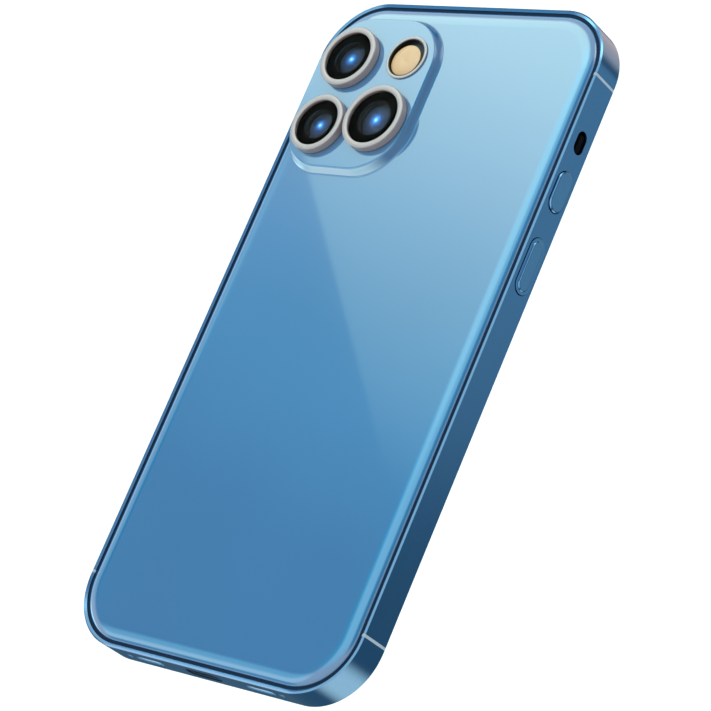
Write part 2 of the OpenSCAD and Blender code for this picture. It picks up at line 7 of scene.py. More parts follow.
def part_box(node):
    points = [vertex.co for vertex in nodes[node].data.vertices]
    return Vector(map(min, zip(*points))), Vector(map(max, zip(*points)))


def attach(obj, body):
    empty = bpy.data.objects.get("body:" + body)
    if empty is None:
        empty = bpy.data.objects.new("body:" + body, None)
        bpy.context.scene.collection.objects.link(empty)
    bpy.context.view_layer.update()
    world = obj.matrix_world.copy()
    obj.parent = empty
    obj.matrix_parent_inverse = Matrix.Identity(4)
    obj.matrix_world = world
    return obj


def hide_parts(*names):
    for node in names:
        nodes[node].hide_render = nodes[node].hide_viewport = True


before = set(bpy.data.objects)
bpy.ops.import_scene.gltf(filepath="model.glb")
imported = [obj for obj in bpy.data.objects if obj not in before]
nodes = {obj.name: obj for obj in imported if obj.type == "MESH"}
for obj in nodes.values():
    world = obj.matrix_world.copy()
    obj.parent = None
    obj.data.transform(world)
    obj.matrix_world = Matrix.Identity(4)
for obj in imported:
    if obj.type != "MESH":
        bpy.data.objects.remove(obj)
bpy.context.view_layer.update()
mm = 0.001


def deselectAll():
    if bpy.context.object and bpy.context.object.mode != "OBJECT":
        bpy.ops.object.mode_set(mode="OBJECT")
    bpy.ops.object.select_all(action="DESELECT")


def pickObject(piece):
    deselectAll()
    piece.select_set(True)
    bpy.context.view_layer.objects.active = piece


def openMesh(piece, mode="FACE"):
    # edit mode with nothing selected
    pickObject(piece)
    bpy.ops.object.mode_set(mode="EDIT")
    bpy.ops.mesh.select_mode(type=mode)
    bpy.ops.mesh.select_all(action="DESELECT")


def closeMesh():
    bpy.ops.object.mode_set(mode="OBJECT")


def pickFaces(piece, wanted):
    bpy.ops.object.mode_set(mode="OBJECT")
    for face in piece.data.polygons:
        face.select = bool(wanted(face))
    bpy.ops.object.mode_set(mode="EDIT")


def pickEdges(piece, wanted):
    bpy.ops.object.mode_set(mode="EDIT")
    bpy.ops.mesh.select_mode(type="EDGE")
    bpy.ops.mesh.select_all(action="DESELECT")
    bpy.ops.object.mode_set(mode="OBJECT")
    points = piece.data.vertices
    for edge in piece.data.edges:
        a, b = (points[i].co for i in edge.vertices)
        edge.select = bool(wanted(a, b))
    bpy.ops.object.mode_set(mode="EDIT")


def bakePlace(piece):
    pickObject(piece)
    bpy.ops.object.transform_apply(location=True, rotation=True, scale=True)


def fixNormals(piece):
    openMesh(piece)
    bpy.ops.mesh.select_all(action="SELECT")
    bpy.ops.mesh.remove_doubles(threshold=1e-6)
    bpy.ops.mesh.normals_make_consistent(inside=False)
    closeMesh()


def smoothShade(piece, angle=30):
    pickObject(piece)
    bpy.ops.object.shade_smooth_by_angle(angle=math.radians(angle))
    bpy.ops.object.modifier_add(type="WEIGHTED_NORMAL")
    even = piece.modifiers[-1]
    even.keep_sharp = True
    even.weight = 80
    bpy.ops.object.modifier_apply(modifier=even.name)


def combine(piece, tool, how):
    # boolean with a throw-away tool
    pickObject(piece)
    bpy.ops.object.modifier_add(type="BOOLEAN")
    cut = piece.modifiers[-1]
    cut.operation = how
    cut.solver = "EXACT"
    cut.object = tool
    bpy.ops.object.modifier_apply(modifier=cut.name)
    bpy.data.objects.remove(tool)


def roundedPlate(name, centre, width, height, radius, segments=24):
    # flat plate with round corners, facing +Z
    deselectAll()
    bpy.ops.mesh.primitive_plane_add(size=1, location=centre)
    plate = bpy.context.object
    plate.name = name
    plate.scale = (width, height, 1)
    bakePlace(plate)
    openMesh(plate, "VERT")
    bpy.ops.mesh.select_all(action="SELECT")
    bpy.ops.mesh.bevel(offset=radius, affect="VERTICES", segments=segments, profile=0.5)
    bpy.ops.mesh.remove_doubles(threshold=1e-6)
    closeMesh()
    return plate


def raisePlate(plate, height):
    openMesh(plate)
    bpy.ops.mesh.select_all(action="SELECT")
    bpy.ops.mesh.extrude_region_move(TRANSFORM_OT_translate={"value": (0, 0, height)})
    closeMesh()
    fixNormals(plate)


def pillBar(name, centre, length, width, depth, facing):
    # bar with a slot-shaped section, its length along Y or X and its depth along the way it faces
    bar = roundedPlate(name, (0, 0, 0), length, width, width * 0.4999, 12)
    raisePlate(bar, depth)
    turn = {
        "+X": (math.pi / 2, 0, math.pi / 2),
        "-X": (math.pi / 2, 0, -math.pi / 2),
        "-Y": (math.pi / 2, 0, 0),
    }[facing]
    bar.rotation_euler = turn
    bakePlace(bar)
    bar.location = centre
    bakePlace(bar)
    return bar


def turnedRing(name, centre, inner, outer, low, high, soft, steps=96):
    # ring with a soft rectangular section, turned about its own axis
    deselectAll()
    middle = Vector((centre.x + (inner + outer) / 2, centre.y, (low + high) / 2))
    bpy.ops.mesh.primitive_plane_add(size=1, location=middle, rotation=(math.pi / 2, 0, 0))
    ring = bpy.context.object
    ring.name = name
    ring.scale = (outer - inner, high - low, 1)
    bakePlace(ring)
    openMesh(ring, "VERT")
    bpy.ops.mesh.select_all(action="SELECT")
    bpy.ops.mesh.bevel(offset=soft, affect="VERTICES", segments=4, profile=0.5)
    bpy.ops.mesh.select_all(action="SELECT")
    bpy.ops.mesh.delete(type="ONLY_FACE")
    bpy.ops.mesh.select_all(action="SELECT")
    bpy.ops.mesh.spin(steps=steps, angle=math.tau, center=(centre.x, centre.y, 0), axis=(0, 0, 1))
    closeMesh()
    fixNormals(ring)
    smoothShade(ring, 40)
    return ring


def turnedDisc(name, centre, radius, low, high, soft, steps=96):
    deselectAll()
    bpy.ops.mesh.primitive_cylinder_add(vertices=steps, radius=radius, depth=high - low,
                                        location=(centre.x, centre.y, (low + high) / 2))
    disc = bpy.context.object
    disc.name = name
    bakePlace(disc)
    pickEdges(disc, lambda a, b: abs(a.z - high) < 1e-6 and abs(b.z - high) < 1e-6)
    bpy.ops.mesh.bevel(offset=soft, segments=4, affect="EDGES")
    closeMesh()
    smoothShade(disc, 40)
    return disc


def turnedDome(name, centre, radius, low, rim, rise, steps=72, rounds=14):
    # shallow dome on a short wall, made by insets that climb a circular arc
    disc = turnedDisc(name, centre, radius, low, rim, radius * 0.004, steps)
    openMesh(disc)
    pickFaces(disc, lambda f: f.normal.z > 0.9 and f.area > radius * radius)
    ball = (radius * radius + rise * rise) / (2 * rise)
    face = radius * 0.995
    here = 0.0
    for i in range(rounds):
        nextFace = radius * math.cos(math.pi / 2 * (i + 1) / (rounds + 0.6))
        climb = math.sqrt(ball * ball - nextFace * nextFace) - (ball - rise)
        bpy.ops.mesh.inset(thickness=face - nextFace, depth=climb - here)
        face, here = nextFace, climb
    closeMesh()
    smoothShade(disc, 40)
    return disc


def finishPiece(piece, material, body, *replaced, slot=None):
    piece.data.materials.clear()
    piece.data.materials.append(material)
    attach(piece, body)
    if replaced:
        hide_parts(*replaced)
    return piece


def newFinish(name, colour, rough, metal=0.0, **sockets):
    finish = bpy.data.materials.new(name)
    finish.use_nodes = True
    shader = finish.node_tree.nodes["Principled BSDF"]
    shader.inputs["Base Color"].default_value = (*colour, 1)
    shader.inputs["Roughness"].default_value = rough
    shader.inputs["Metallic"].default_value = metal
    for socket, value in sockets.items():
        shader.inputs[socket].default_value = value
    return finish, shader


def addNode(tree, kind, **settings):
    node = tree.nodes.new(kind)
    for key, value in settings.items():
        setattr(node, key, value)
    return node


def objectSpot(tree, location=(0, 0, 0), scale=(1, 1, 1)):
    place = addNode(tree, "ShaderNodeTexCoord")
    mapping = addNode(tree, "ShaderNodeMapping")
    mapping.inputs["Location"].default_value = location
    mapping.inputs["Scale"].default_value = scale
    tree.links.new(place.outputs["Object"], mapping.inputs["Vector"])
    return mapping.outputs["Vector"]


def colourRamp(tree, source, stops, interpolation="LINEAR"):
    ramp = addNode(tree, "ShaderNodeValToRGB")
    ramp.color_ramp.interpolation = interpolation
    while len(ramp.color_ramp.elements) < len(stops):
        ramp.color_ramp.elements.new(0.5)
    for element, (position, colour) in zip(ramp.color_ramp.elements, stops):
        element.position = position
        element.color = (*colour, 1)
    tree.links.new(source, ramp.inputs["Fac"])
    return ramp.outputs["Color"]


def spread(tree, source, low, high):
    span = addNode(tree, "ShaderNodeMapRange")
    span.inputs["To Min"].default_value = low
    span.inputs["To Max"].default_value = high
    tree.links.new(source, span.inputs["Value"])
    return span.outputs["Result"]


def relief(tree, source, shader, strength, depth):
    bump = addNode(tree, "ShaderNodeBump")
    bump.inputs["Strength"].default_value = strength
    bump.inputs["Distance"].default_value = depth
    tree.links.new(source, bump.inputs["Height"])
    tree.links.new(bump.outputs["Normal"], shader.inputs["Normal"])


def shades(colour, vary):
    return [c * (1 - vary) for c in colour], [min(1, c * (1 + vary)) for c in colour]


def grainFinish(name, colour, rough, metal=0.0, grain=900, stretch=(1, 1, 1), vary=0.06, bump=0.02,
                depth=0.00005, roughVary=0.08, **sockets):
    # fine moulded or brushed grain: colour, gloss and relief all follow one noise
    finish, shader = newFinish(name, colour, rough, metal, **sockets)
    tree = finish.node_tree
    noise = addNode(tree, "ShaderNodeTexNoise")
    noise.inputs["Scale"].default_value = grain
    noise.inputs["Detail"].default_value = 4
    tree.links.new(objectSpot(tree, scale=stretch), noise.inputs["Vector"])
    dark, light = shades(colour, vary)
    tree.links.new(colourRamp(tree, noise.outputs["Fac"], [(0.3, dark), (0.7, light)]),
                   shader.inputs["Base Color"])
    tree.links.new(spread(tree, noise.outputs["Fac"], max(0.02, rough - roughVary / 2),
                          min(1, rough + roughVary / 2)), shader.inputs["Roughness"])
    if bump:
        relief(tree, noise.outputs["Fac"], shader, bump, depth)
    return finish


def ringFinish(name, colour, rough, metal, centre, pitch, vary=0.08, bump=0.1, depth=0.00002, **sockets):
    # turned metal, wound wire or a ribbed window: fine circles about the piece's own axis
    finish, shader = newFinish(name, colour, rough, metal, **sockets)
    tree = finish.node_tree
    wave = addNode(tree, "ShaderNodeTexWave", wave_type="RINGS", rings_direction="Z")
    wave.inputs["Scale"].default_value = 1 / pitch / 3.18
    wave.inputs["Distortion"].default_value = 0.6
    wave.inputs["Detail"].default_value = 3
    tree.links.new(objectSpot(tree, (-centre.x, -centre.y, 0)), wave.inputs["Vector"])
    dark, light = shades(colour, vary)
    tree.links.new(colourRamp(tree, wave.outputs["Fac"], [(0, dark), (1, light)]),
                   shader.inputs["Base Color"])
    tree.links.new(spread(tree, wave.outputs["Fac"], rough * 0.85, rough * 1.15), shader.inputs["Roughness"])
    relief(tree, wave.outputs["Fac"], shader, bump, depth)
    return finish


def paintedGlintFinish(name, centre, radius, stops):
    # dark navy coating at the rim and a painted blue glint with a cyan core in the middle: the colour runs
    # from the rim to the middle
    finish, shader = newFinish(name, (0.02, 0.03, 0.06), 0.06, 0.0, **{"Specular IOR Level": 0.04})
    tree = finish.node_tree
    reach = 1 / radius
    ball = addNode(tree, "ShaderNodeTexGradient", gradient_type="SPHERICAL")
    tree.links.new(objectSpot(tree, (-centre.x * reach, -centre.y * reach, 0), (reach, reach, 0)),
                   ball.inputs["Vector"])
    tree.links.new(colourRamp(tree, ball.outputs["Fac"], stops, "EASE"), shader.inputs["Base Color"])
    return finish


def paint(finish, *names):
    # a carried-over node takes one finish all over
    for name in names:
        mesh = nodes[name].data
        mesh.materials.clear()
        mesh.materials.append(finish)


print("bench ready")

cameraSet = {
    "place": (0.35735, -0.15041, 0.37638),
    "aim": (0.00362, -0.00437, 0.004),
    "lens": 141.03,
    "roll": -50.865,  # degrees about the line of sight
}

camData = bpy.data.cameras.new("camera")
camera = bpy.data.objects.new("camera", camData)
bpy.context.scene.collection.objects.link(camera)
camera.location = cameraSet["place"]
sight = Vector(cameraSet["aim"]) - camera.location
camera.rotation_mode = "QUATERNION"
camera.rotation_quaternion = (sight.to_track_quat("-Z", "Y").to_matrix()
                              @ Matrix.Rotation(math.radians(cameraSet["roll"]), 3, "Z")).to_quaternion()
camData.sensor_width = 36
camData.lens = cameraSet["lens"]
camData.clip_start = 0.01
camData.clip_end = 100
bpy.context.scene.camera = camera
bpy.context.scene.view_settings.view_transform = "Standard"

studioSet = {
    "floorSize": 40,
    "floorDrop": 0.45,  # how far the floor lies under the phone
    "backdrop": 1.0,
    "above": (1.0, 1.0, 1.0),
    "below": (0.08, 0.15, 0.205),
    "horizon": 0.12,  # half the height over which the two meet
    "softBoxes": [
        # way to it, half angle where it ends and where it is full, colour
        ((0.30, -0.62, -0.70), 29, 8, (1.3, 1.05, 0.85)),    # under the bottom corner
        ((-0.08, 0.71, -0.70), 28, 12, (0.9, 0.5, 0.36)),    # under the top corner
        ((0.66, 0.45, -0.66), 13.5, 10.5, (0.2, 0.24, 0.27)),  # under the button side
        ((-0.33, 0.27, 0.90), 22, 7, (-0.25, 0.6, 1.0)),     # overhead, for the right rim
        ((-0.66, -0.18, 0.72), 15, 9, (0.3, 0.85, 1.05)),     # for the lower rim
        ((-0.66, -0.74, 0.15), 15, 7, (0.75, 0.35, 0.3)),    # for the lower bevel
        ((-0.97, -0.20, 0.10), 15, 5, (1.2, 1.8, 1.9)),      # for the plateau's lower left corner
        ((-0.86, 0.27, 0.42), 15, 5, (-0.5, -0.25, -0.15)),  # for the left rim
        ((0.35, 0.75, 0.5), 17, 8, (1.6, 1.8, 1.9)),         # for the shoulders of the buttons
    ],
    "flags": [
        # the same, but these take light away
        ((-0.69, 0.10, 0.70), 17, 9, (0.8, 0.78, 0.7)),
        ((0.93, 0.2, 0.12), 30, 8, (0.5, 0.4, 0.3)),
        ((-0.66, -0.52, 0.54), 15, 6, (0.75, 0.55, 0.4)),    # for the rim at the camera end
        ((0.22, 0.27, 0.94), 24, 10, (0.9, 0.8, 0.65)),      # for the glass's outermost edge on the right
    ],
    "panelEdge": (0.6888, 0.5886, 0.4233),  # the big panel's straight edge, as the plane through it
    "panelSoft": 0.0012,           # half the width of that edge
    "panelWay": (-0.62, 0.36, 0.70),
    "panelReach": (25, 15),        # half angle where the panel ends and where it is full
    "panelGlow": [(0.236, 0.0), (0.267, 0.38), (0.294, 0.63), (0.319, 0.75), (0.344, 0.94), (0.368, 1.16),
                  (0.39, 1.54), (0.415, 1.85)],
    "panelTint": (0.71, 1.0, 0.74),
    "fillGlow": ((0.2, 0.27), (0.08, 0.31, 0.46)),  # faint glow left of the edge
    "keyPlace": (-0.55, 0.30, 1.0),
    "keyPower": 5.0,
    "keySize": 0.8,
}


def studioWorld():
    world = bpy.data.worlds.new("studio")
    bpy.context.scene.world = world
    world.use_nodes = True
    tree = world.node_tree
    tree.nodes.clear()
    link = tree.links.new
    way = addNode(tree, "ShaderNodeTexCoord").outputs["Object"]
    parts = addNode(tree, "ShaderNodeSeparateXYZ")
    link(way, parts.inputs["Vector"])

    def ramp(value, low, high, start=0.0, end=1.0):
        span = addNode(tree, "ShaderNodeMapRange", interpolation_type="SMOOTHSTEP")
        for socket, number in zip(("From Min", "From Max", "To Min", "To Max"), (low, high, start, end)):
            span.inputs[socket].default_value = number
        link(value, span.inputs["Value"])
        return span.outputs["Result"]

    def towards(direction):
        facing = addNode(tree, "ShaderNodeVectorMath", operation="DOT_PRODUCT")
        link(way, facing.inputs[0])
        facing.inputs[1].default_value = Vector(direction).normalized()
        return facing.outputs["Value"]

    def tinted(factor, colour):
        scale = addNode(tree, "ShaderNodeVectorMath", operation="SCALE")
        scale.inputs[0].default_value = colour
        link(factor, scale.inputs["Scale"])
        return scale.outputs["Vector"]

    def mix(operation, a, b):
        both = addNode(tree, "ShaderNodeVectorMath", operation=operation)
        link(a, both.inputs[0])
        link(b, both.inputs[1])
        return both.outputs["Vector"]

    def times(a, b):
        both = addNode(tree, "ShaderNodeMath", operation="MULTIPLY")
        link(a, both.inputs[0])
        link(b, both.inputs[1])
        return both.outputs["Value"]

    meet = studioSet["horizon"]
    up = ramp(parts.outputs["Z"], -meet, meet)
    down = ramp(parts.outputs["Z"], -meet, meet, 1.0, 0.0)
    sky = mix("ADD", tinted(up, studioSet["above"]), tinted(down, studioSet["below"]))
    for direction, outer, inner, colour in studioSet["softBoxes"]:
        spot = ramp(towards(direction), math.cos(math.radians(outer)), math.cos(math.radians(inner)))
        sky = mix("ADD", sky, tinted(spot, colour))
    for direction, outer, inner, colour in studioSet["flags"]:
        spot = ramp(towards(direction), math.cos(math.radians(outer)), math.cos(math.radians(inner)))
        sky = mix("SUBTRACT", sky, tinted(spot, colour))

    # the big panel: one soft straight edge, brighter towards the camera end
    edge = ramp(towards(studioSet["panelEdge"]), -studioSet["panelSoft"], studioSet["panelSoft"])
    outer, inner = studioSet["panelReach"]
    reach = ramp(towards(studioSet["panelWay"]), math.cos(math.radians(outer)), math.cos(math.radians(inner)))
    stops = studioSet["panelGlow"]
    top = stops[-1][1]
    span = addNode(tree, "ShaderNodeMapRange")
    span.inputs["From Min"].default_value = stops[0][0]
    span.inputs["From Max"].default_value = stops[-1][0]
    link(parts.outputs["Y"], span.inputs["Value"])
    length = stops[-1][0] - stops[0][0]
    glow = addNode(tree, "ShaderNodeValToRGB")
    while len(glow.color_ramp.elements) < len(stops):
        glow.color_ramp.elements.new(0.5)
    for element, (place, value) in zip(glow.color_ramp.elements, stops):
        element.position = (place - stops[0][0]) / length
        element.color = (value / top, value / top, value / top, 1)
    link(span.outputs["Result"], glow.inputs["Fac"])
    panel = times(times(edge, reach), glow.outputs["Color"])
    sky = mix("ADD", sky, tinted(panel, [top * c for c in studioSet["panelTint"]]))
    (start, full), colour = studioSet["fillGlow"]
    sky = mix("ADD", sky, tinted(times(reach, ramp(parts.outputs["Y"], start, full)), colour))

    lit = addNode(tree, "ShaderNodeVectorMath", operation="MAXIMUM")  # no light below nothing
    link(sky, lit.inputs[0])
    lit.inputs[1].default_value = (0, 0, 0)
    background = addNode(tree, "ShaderNodeBackground")
    link(lit.outputs["Vector"], background.inputs["Color"])
    plain = addNode(tree, "ShaderNodeBackground")
    plain.inputs["Color"].default_value = (1, 1, 1, 1)
    plain.inputs["Strength"].default_value = studioSet["backdrop"]
    seen = addNode(tree, "ShaderNodeLightPath")
    choose = addNode(tree, "ShaderNodeMixShader")
    link(seen.outputs["Is Camera Ray"], choose.inputs[0])
    link(background.outputs["Background"], choose.inputs[1])
    link(plain.outputs["Background"], choose.inputs[2])
    link(choose.outputs["Shader"], addNode(tree, "ShaderNodeOutputWorld").inputs["Surface"])


studioWorld()

keyData = bpy.data.lights.new("keyLight", "AREA")
keyData.shape = "DISK"
keyData.size = studioSet["keySize"]
keyData.energy = studioSet["keyPower"]
keyLight = bpy.data.objects.new("keyLight", keyData)
bpy.context.scene.collection.objects.link(keyLight)
keyLight.location = studioSet["keyPlace"]
keyLight.rotation_mode = "QUATERNION"
keyLight.rotation_quaternion = (-keyLight.location).to_track_quat("-Z", "Y")
keyLight.visible_glossy = False

deselectAll()
bpy.ops.mesh.primitive_plane_add(size=studioSet["floorSize"], location=(0, 0, -studioSet["floorDrop"]))
floor = bpy.context.object
floor.name = "floor"
bakePlace(floor)
floor.data.materials.append(grainFinish("paleFloor", (0.93, 0.93, 0.93), 0.9, grain=40, vary=0.01, bump=0))
floor.visible_glossy = False
print("studio ready")


backGlassSet = {
    "colour": (0.029, 0.156, 0.322),
    "softWidth": 3.2 * mm,   # how far the soft rim reaches in
    "softDrop": 0.85 * mm,
    "cornerRadius": 11.6 * mm,
    "plateauRadius": 11.0 * mm,
    "flare": 1.1 * mm,       # how far the plateau's foot spreads
    "crown": 1.25 * mm,      # how far its upper edge rounds inwards
    "rounds": 9,
    "arcSteps": 28,
    "lift": 0.8 * mm,        # the face's height over the seal
    "sink": 0.95 * mm,       # how far the plateau reaches into the plate
    "wallBand": 1.25 * mm,   # top part of the CAD glass that belongs to the plateau
    "anchorIn": 8 * mm,      # the point the wall spreads from, in from the plateau's corner
    "anchorDown": 12 * mm,
    "lensGap": 0.3 * mm,
    "openingDepth": 8 * mm,
    "wallPaintedHighlight": (0.32, 0.55, 0.68),    # painted highlight on the wall's lower side
    "wallPaintedShade": (0.012, 0.115, 0.26),  # painted shade on its upper side
    "wallFade": 0.26 * mm,             # height over which the wall's painted highlight and shade set in, and its coat thins
    "paleFrom": 8.5 * mm,              # where the painted highlight starts, measured down from the middle
    "highlightFull": 14 * mm,
    "highlightSlant": 0.35,       # how much the painted highlight's edge leans
    "wallCoat": 0.9,         # share of the coat that the wall goes without
    "cloudScale": 18,
    "speckScale": 2600,
}


def climbRim(plate, width, drop, rounds):
    # pulls the top face in along a quarter ellipse
    high = max(v.co.z for v in plate.data.vertices)
    openMesh(plate)
    pickFaces(plate, lambda f: f.normal.z > 0.9 and f.center.z > high - 1e-6)
    inAt, upAt = 0.0, 0.0
    for i in range(rounds):
        turn = math.pi / 2 * (i + 1) / rounds
        nextIn, nextUp = width * (1 - math.cos(turn)), drop * math.sin(turn)
        bpy.ops.mesh.inset(thickness=nextIn - inAt, depth=nextUp - upAt)
        inAt, upAt = nextIn, nextUp
    closeMesh()


def makeBackGlass():
    s = backGlassSet
    low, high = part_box("rear_glass")
    wall = [v.co for v in nodes["rear_glass"].data.vertices if v.co.z > high.z - s["wallBand"]]
    left, right = min(p.x for p in wall), max(p.x for p in wall)
    under, over = min(p.y for p in wall), max(p.y for p in wall)
    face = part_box("rear_seal")[1].z + s["lift"]
    width, height = high.x - low.x, high.y - low.y

    glass = roundedPlate("backGlass", (0, 0, low.z), width, height, s["cornerRadius"], s["arcSteps"])
    raisePlate(glass, face - s["softDrop"] - low.z)
    climbRim(glass, s["softWidth"], s["softDrop"], s["rounds"])

    # the plateau's wall is one soft S, steeper towards the phone's corner
    across, along = right - left, over - under
    plateau = roundedPlate("plateau", ((left + right) / 2, (under + over) / 2, face - s["sink"]),
                           across, along, s["plateauRadius"], s["arcSteps"])
    anchor = (left + s["anchorIn"], over - s["anchorDown"], face)

    def spreadTo(now, then):
        bpy.ops.transform.resize(value=((across + then) / (across + now), (along + then) / (along + now), 1),
                                 center_override=anchor)

    openMesh(plateau, "VERT")
    bpy.ops.mesh.select_all(action="SELECT")
    spreadTo(0, s["flare"])
    closeMesh()
    raisePlate(plateau, s["sink"] - 0.004 * mm)  # a hair under the face, so the two never lie flush
    openMesh(plateau)
    pickFaces(plateau, lambda f: f.normal.z > 0.9)
    outNow, upNow, steps = s["flare"], 0.0, 2 * s["rounds"]
    for i in range(steps):
        part = (i + 1) / steps
        outNext = s["flare"] - (s["flare"] + s["crown"]) * part
        upNext = (high.z - face) * (1 - math.cos(math.pi * part)) / 2
        bpy.ops.mesh.extrude_region_move(TRANSFORM_OT_translate={"value": (0, 0, upNext - upNow)})
        spreadTo(outNow, outNext)
        outNow, upNow = outNext, upNext
    closeMesh()
    combine(glass, plateau, "UNION")

    # openings for the three cameras and the flash
    for cup, gap in (("lens_barrel_a", s["lensGap"]), ("lens_barrel_b", s["lensGap"]),
                     ("lens_barrel_c", s["lensGap"]), ("flash_cup", 0.0)):
        a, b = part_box(cup)
        deselectAll()
        radius = (b.x - a.x) / 2 + gap
        bpy.ops.mesh.primitive_cylinder_add(vertices=96, radius=radius, depth=s["openingDepth"],
                                            location=((a.x + b.x) / 2, (a.y + b.y) / 2, face))
        combine(glass, bpy.context.object, "DIFFERENCE")
    fixNormals(glass)
    smoothShade(glass, 35)

    finish, shader = newFinish("blueGlass", s["colour"], 0.05, 0.0,
                               **{"Coat Weight": 1.0, "Coat Roughness": 0.015, "Coat IOR": 1.9, "IOR": 1.6})
    tree = finish.node_tree
    cloud = addNode(tree, "ShaderNodeTexNoise")
    cloud.inputs["Scale"].default_value = s["cloudScale"]
    cloud.inputs["Detail"].default_value = 2
    tree.links.new(objectSpot(tree), cloud.inputs["Vector"])
    dark, light = shades(s["colour"], 0.035)
    flat = colourRamp(tree, cloud.outputs["Fac"], [(0.3, dark), (0.7, light)])

    # the plateau's wall: painted highlight below, painted shade in deep blue above, and less glossy than the
    # faces
    spot = addNode(tree, "ShaderNodeSeparateXYZ")
    tree.links.new(objectSpot(tree), spot.inputs["Vector"])

    def fade(source, start, end):
        span = addNode(tree, "ShaderNodeMapRange", interpolation_type="SMOOTHSTEP")
        span.inputs["From Min"].default_value = start
        span.inputs["From Max"].default_value = end
        tree.links.new(source, span.inputs["Value"])
        return span.outputs["Result"]

    def sums(operation, a, b):
        both = addNode(tree, "ShaderNodeMath", operation=operation)
        for socket, value in zip(both.inputs, (a, b)):
            if isinstance(value, float):
                socket.default_value = value
            else:
                tree.links.new(value, socket)
        return both.outputs["Value"]

    def blend(factor, a, b):
        both = addNode(tree, "ShaderNodeMix", data_type="RGBA")
        tree.links.new(factor, both.inputs[0])
        for socket, value in ((both.inputs[6], a), (both.inputs[7], b)):
            if isinstance(value, tuple):
                socket.default_value = (*value, 1)
            else:
                tree.links.new(value, socket)
        return both.outputs[2]

    wall = sums("MULTIPLY", fade(spot.outputs["Z"], face + 0.02 * mm, face + s["wallFade"]),
                fade(spot.outputs["Z"], high.z - 0.01 * mm, high.z - s["wallFade"]))
    middleX, middleY = (left + right) / 2, (under + over) / 2
    slant = sums("MULTIPLY_ADD", spot.outputs["X"], -s["highlightSlant"])
    slant.node.inputs[2].default_value = s["highlightSlant"] * middleX + middleY
    fall = sums("SUBTRACT", slant, spot.outputs["Y"])
    # painted highlight on the wall's lower side and painted shade on its upper side, set by position
    wallLightPaint = blend(fade(fall, s["paleFrom"], s["highlightFull"]), s["wallPaintedShade"], s["wallPaintedHighlight"])
    tree.links.new(blend(wall, flat, wallLightPaint), shader.inputs["Base Color"])
    gloss = sums("MULTIPLY_ADD", wall, -s["wallCoat"])
    gloss.node.inputs[2].default_value = 1.0
    tree.links.new(gloss, shader.inputs["Coat Weight"])
    speck = addNode(tree, "ShaderNodeTexNoise")
    speck.inputs["Scale"].default_value = s["speckScale"]
    speck.inputs["Detail"].default_value = 3
    tree.links.new(objectSpot(tree), speck.inputs["Vector"])
    tree.links.new(spread(tree, speck.outputs["Fac"], 0.04, 0.1), shader.inputs["Roughness"])
    relief(tree, speck.outputs["Fac"], shader, 0.02, 0.00001)
    finishPiece(glass, finish, "phone", "rear_glass", slot="rear_glass")


makeBackGlass()
print("back glass ready")


bandSet = {
    "colour": (0.17, 0.385, 0.62),
    "rough": 0.17,
    "plastic": (0.36, 0.44, 0.5),
    "cornerRadius": 13 * mm,
    "bevel": 0.3 * mm,
    "rim": 0.75 * mm,        # rim beside the glass
    "rimSlope": 0.35 * mm,
    "wall": 2.4 * mm,        # between the two glasses
    "ledgeLow": 1.6 * mm,
    "ledgeHigh": 6.7 * mm,
    "buttonGap": 0.15 * mm,
    "flangePocket": 0.6 * mm,
    "trayGap": 0.1 * mm,
    "cutDepth": 4 * mm,      # how far the openings are cut in
    "cutProud": 1 * mm,      # how far the cutting bars stand out
    "arcSteps": 48,
}


def copyOf(node, name):
    # merged copy of a node's mesh, its flat faces whole again
    piece = bpy.data.objects.new(name, nodes[node].data.copy())
    bpy.context.scene.collection.objects.link(piece)
    openMesh(piece)
    bpy.ops.mesh.select_all(action="SELECT")
    bpy.ops.mesh.remove_doubles(threshold=2e-6)
    bpy.ops.mesh.select_all(action="SELECT")
    bpy.ops.mesh.dissolve_limited(angle_limit=math.radians(0.5))
    closeMesh()
    return piece


def smoothCopy(node, name, finish, body, slot, angle=28):
    piece = copyOf(node, name)
    smoothShade(piece, angle)
    return finishPiece(piece, finish, body, node, slot=slot)


def twin(piece, name):
    other = bpy.data.objects.new(name, piece.data.copy())
    bpy.context.scene.collection.objects.link(other)
    return other


def makeBandHoop():
    # the whole band in one, its section drawn by insets from both faces
    s = bandSet
    low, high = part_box("band_bottom")[0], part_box("band_top")[1]
    hoop = roundedPlate("hoop", (0, 0, low.z + s["bevel"]), high.x - low.x, high.y - low.y,
                        s["cornerRadius"], s["arcSteps"])
    raisePlate(hoop, high.z - low.z - 2 * s["bevel"])
    for up, drop, ledge in ((1, s["rimSlope"], s["ledgeHigh"]), (-1, 0.0, s["ledgeLow"])):
        openMesh(hoop)
        pickFaces(hoop, lambda f: f.normal.z * up > 0.9 and f.area > 0.002)
        bpy.ops.mesh.inset(thickness=s["bevel"], depth=s["bevel"])
        bpy.ops.mesh.inset(thickness=s["rim"] - s["bevel"], depth=-drop)
        edge = high.z - drop if up > 0 else low.z
        bpy.ops.mesh.extrude_region_move(TRANSFORM_OT_translate={"value": (0, 0, ledge - edge)})
        bpy.ops.mesh.inset(thickness=s["wall"] - s["rim"], depth=0)
        if up > 0:
            bpy.ops.mesh.extrude_region_move(
                TRANSFORM_OT_translate={"value": (0, 0, s["ledgeLow"] - ledge)})
        bpy.ops.mesh.delete(type="FACE")
        closeMesh()
    fixNormals(hoop)
    return hoop


def cutAt(piece, place, normal):
    # keeps what lies on the normal's side
    openMesh(piece)
    bpy.ops.mesh.select_all(action="SELECT")
    bpy.ops.mesh.bisect(plane_co=place, plane_no=normal, use_fill=True, clear_inner=True)
    closeMesh()


